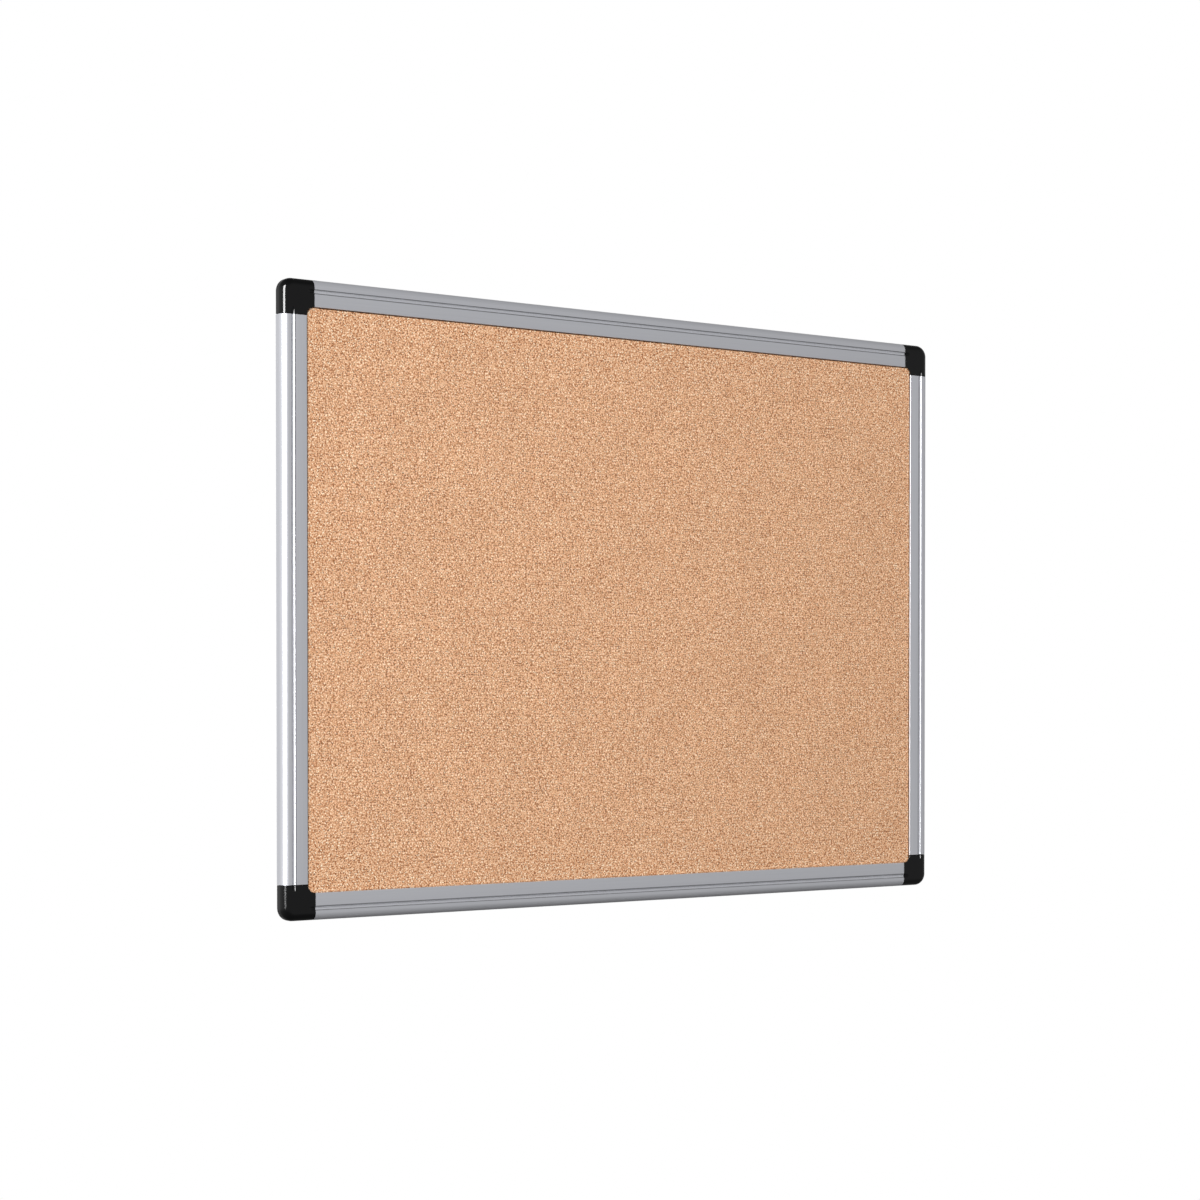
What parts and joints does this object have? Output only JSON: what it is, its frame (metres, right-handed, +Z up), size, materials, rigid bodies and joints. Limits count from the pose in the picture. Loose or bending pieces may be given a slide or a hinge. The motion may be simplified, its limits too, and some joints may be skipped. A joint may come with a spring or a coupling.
{
  "type": "cork bulletin board",
  "caption": "Wall-hung pin board: cork panel in an aluminium frame, with black push-on corner caps that cover the wall screws.",
  "frame": {"origin": "middle of the four wall-screw holes, on the wall plane that the back of the frame lies against", "axes": "+X to the right along the board's width, +Y into the wall, +Z up; the cork faces -Y"},
  "size_m": [0.6, 0.0095, 0.45],
  "materials": {
    "cork": "natural agglomerated cork, matt",
    "softboard": "pressed wood fibre",
    "backing": "grey lining paper",
    "aluminium": "satin anodised",
    "bracket_plastic": "moulded, matt",
    "cap_plastic": "black ABS, semi-gloss",
    "screw_steel": "zinc plated"
  },
  "bodies": {
    "frame": {"cork_sheet": "cork", "core_board": "softboard", "backing_sheet": "backing", "rail_left": "aluminium", "rail_right": "aluminium", "rail_bottom": "aluminium", "rail_top": "aluminium", "bracket_bottom_left": "bracket_plastic", "screw_bottom_left_upright": "screw_steel", "screw_bottom_left_level": "screw_steel", "bracket_bottom_right": "bracket_plastic", "screw_bottom_right_upright": "screw_steel", "screw_bottom_right_level": "screw_steel", "bracket_top_right": "bracket_plastic", "screw_top_right_upright": "screw_steel", "screw_top_right_level": "screw_steel", "bracket_top_left": "bracket_plastic", "screw_top_left_upright": "screw_steel", "screw_top_left_level": "screw_steel"},
    "cap_bottom_left": {"cap_bottom_left": "cap_plastic"},
    "cap_bottom_right": {"cap_bottom_right": "cap_plastic"},
    "cap_top_right": {"cap_top_right": "cap_plastic"},
    "cap_top_left": {"cap_top_left": "cap_plastic"}
  },
  "joints": [
    {"name": "pull_cap_bottom_left", "type": "slide", "parent": "frame", "child": "cap_bottom_left", "axis": [0, -1, 0], "range_m": [0, 0.04]},
    {"name": "pull_cap_bottom_right", "type": "slide", "parent": "frame", "child": "cap_bottom_right", "axis": [0, -1, 0], "range_m": [0, 0.04]},
    {"name": "pull_cap_top_right", "type": "slide", "parent": "frame", "child": "cap_top_right", "axis": [0, -1, 0], "range_m": [0, 0.04]},
    {"name": "pull_cap_top_left", "type": "slide", "parent": "frame", "child": "cap_top_left", "axis": [0, -1, 0], "range_m": [0, 0.04]}
  ]
}
